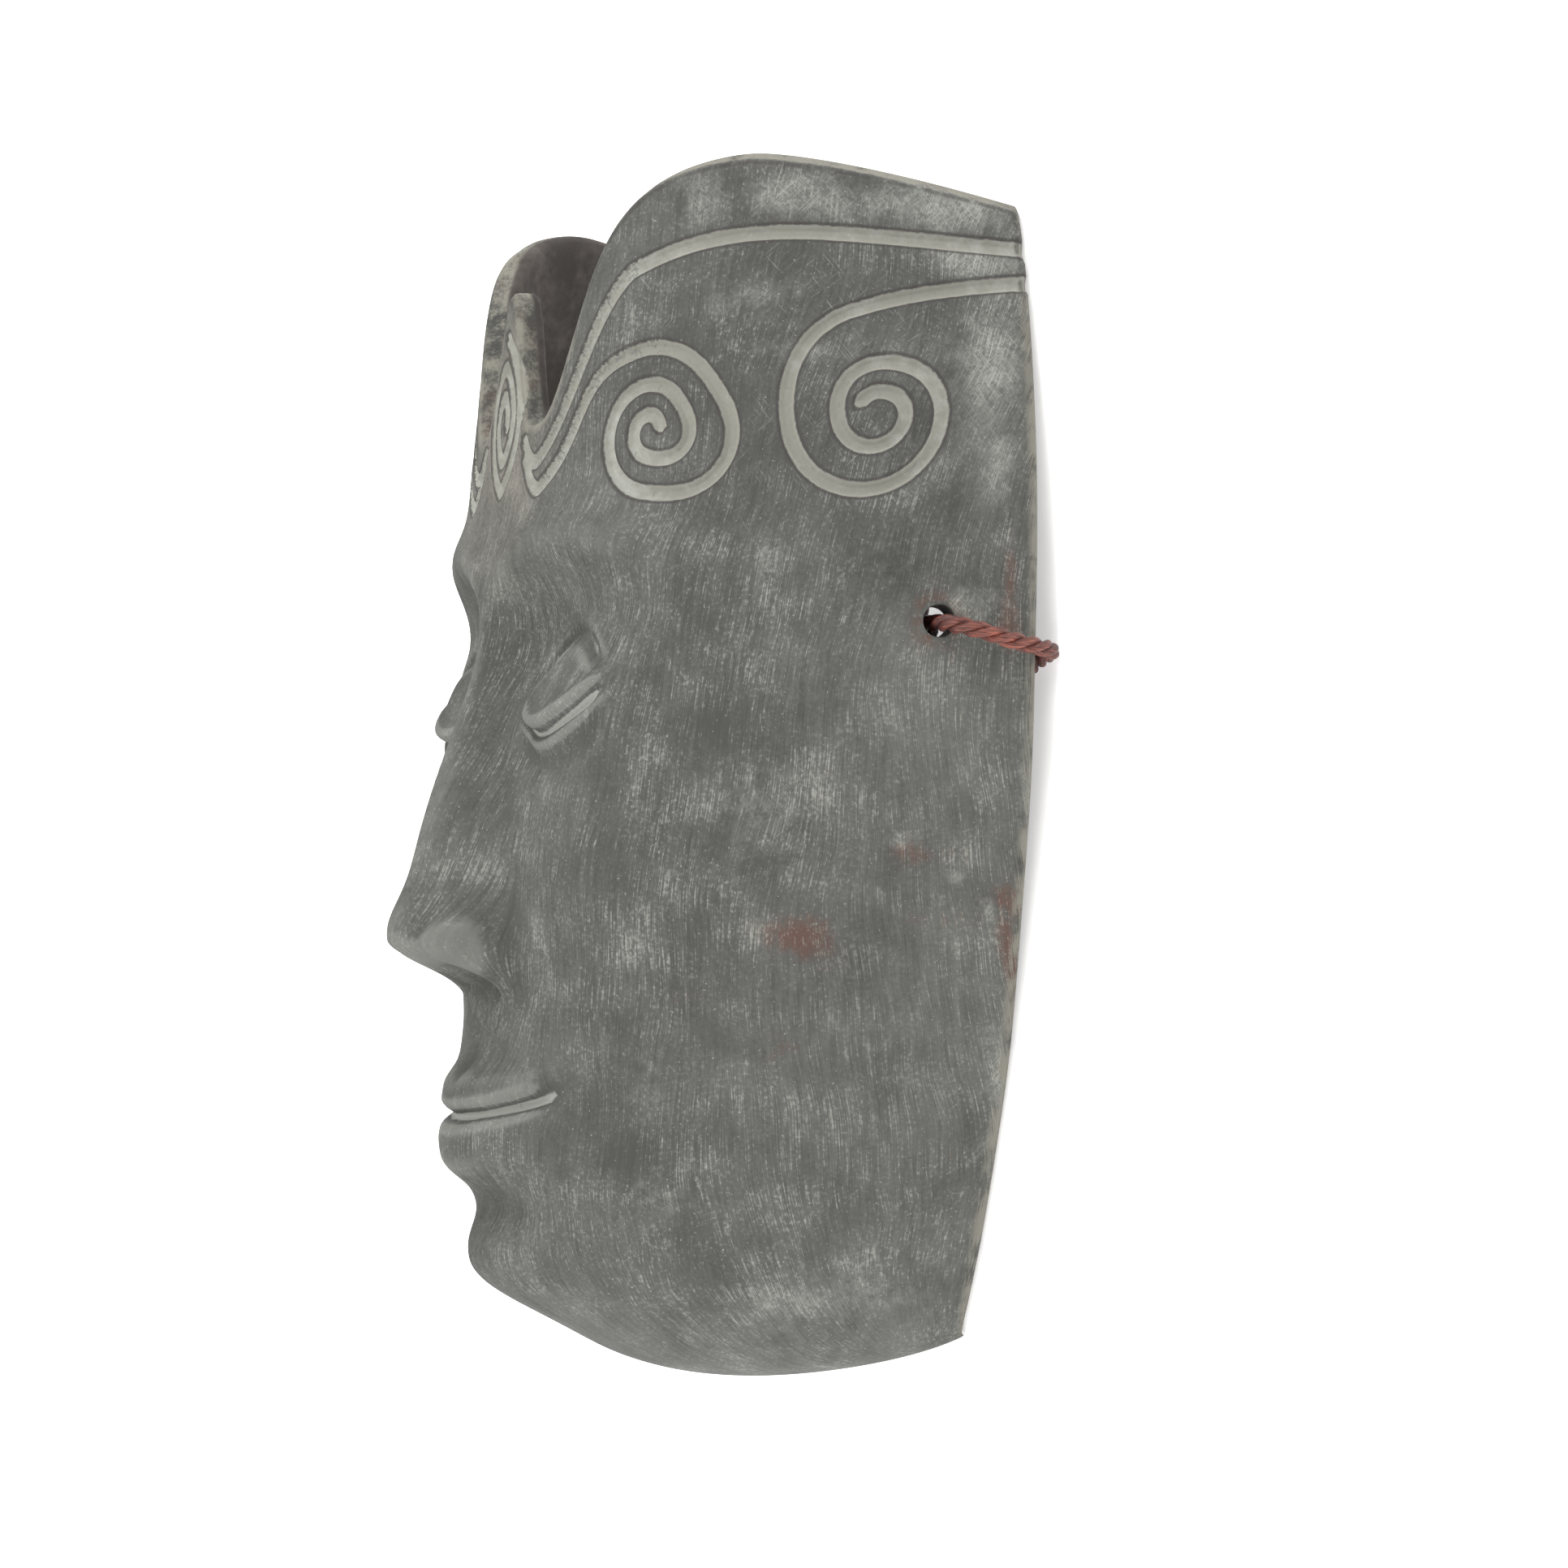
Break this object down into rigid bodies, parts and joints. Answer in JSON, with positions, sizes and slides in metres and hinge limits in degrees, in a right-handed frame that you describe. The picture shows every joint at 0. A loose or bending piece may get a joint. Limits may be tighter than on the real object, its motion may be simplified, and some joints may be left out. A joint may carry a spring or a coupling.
{
  "type": "terracotta buddha mask",
  "caption": "Hollow terracotta wall mask: a calm face with closed eyes, a scalloped rim with a central leaf, carved scrolls and a rope to hang it by.",
  "frame": {"origin": "bottom centre of the shell's box, in the plane of the back edge that the mask lies on", "axes": "+X towards the face's own left, +Y up to the top of the head, +Z out of the face"},
  "size_m": [0.2326, 0.2999, 0.1339],
  "materials": {
    "slipped_terracotta": "matte",
    "rope_fibre": "twisted fibre"
  },
  "bodies": {
    "root": {"mask_shell": "slipped_terracotta", "rope": "rope_fibre", "rope_knot_right": "rope_fibre", "rope_knot_left": "rope_fibre"}
  },
  "joints": []
}
